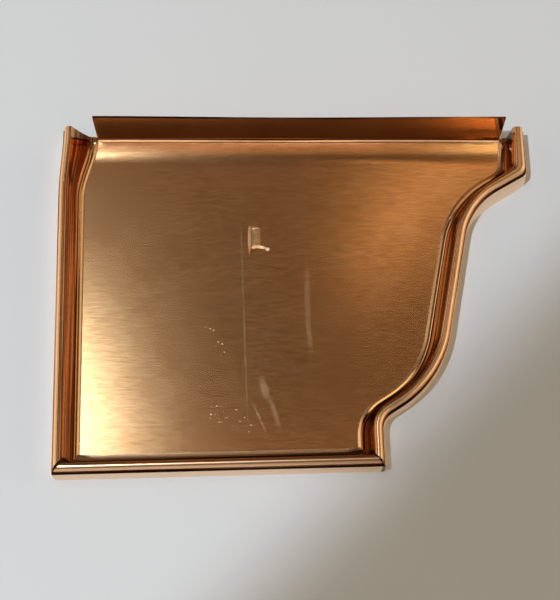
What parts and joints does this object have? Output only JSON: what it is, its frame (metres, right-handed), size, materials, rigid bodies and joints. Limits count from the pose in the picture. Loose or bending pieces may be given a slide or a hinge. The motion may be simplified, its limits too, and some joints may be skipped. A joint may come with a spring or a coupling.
{
  "type": "gutter end cap",
  "caption": "Left-hand end cap for an ogee-front roof gutter: a stamped copper sheet with a flat panel, a hollow raised rim that slides over the gutter's end, and a turned-up top flange.",
  "frame": {"origin": "under the middle of the cap's box, on the plane that the panel's inner side and the skirt's edge lie on", "axes": "+X from the back of the gutter to its ogee front, +Y from the gutter's floor to its top edge, +Z out of the cap's outside face"},
  "size_m": [0.1552, 0.1178, 0.0176],
  "materials": {
    "copper": "bright new copper, panel brushed lengthwise, rim and flange smooth from forming"
  },
  "bodies": {
    "root": {"end_cap": "copper"}
  },
  "joints": []
}
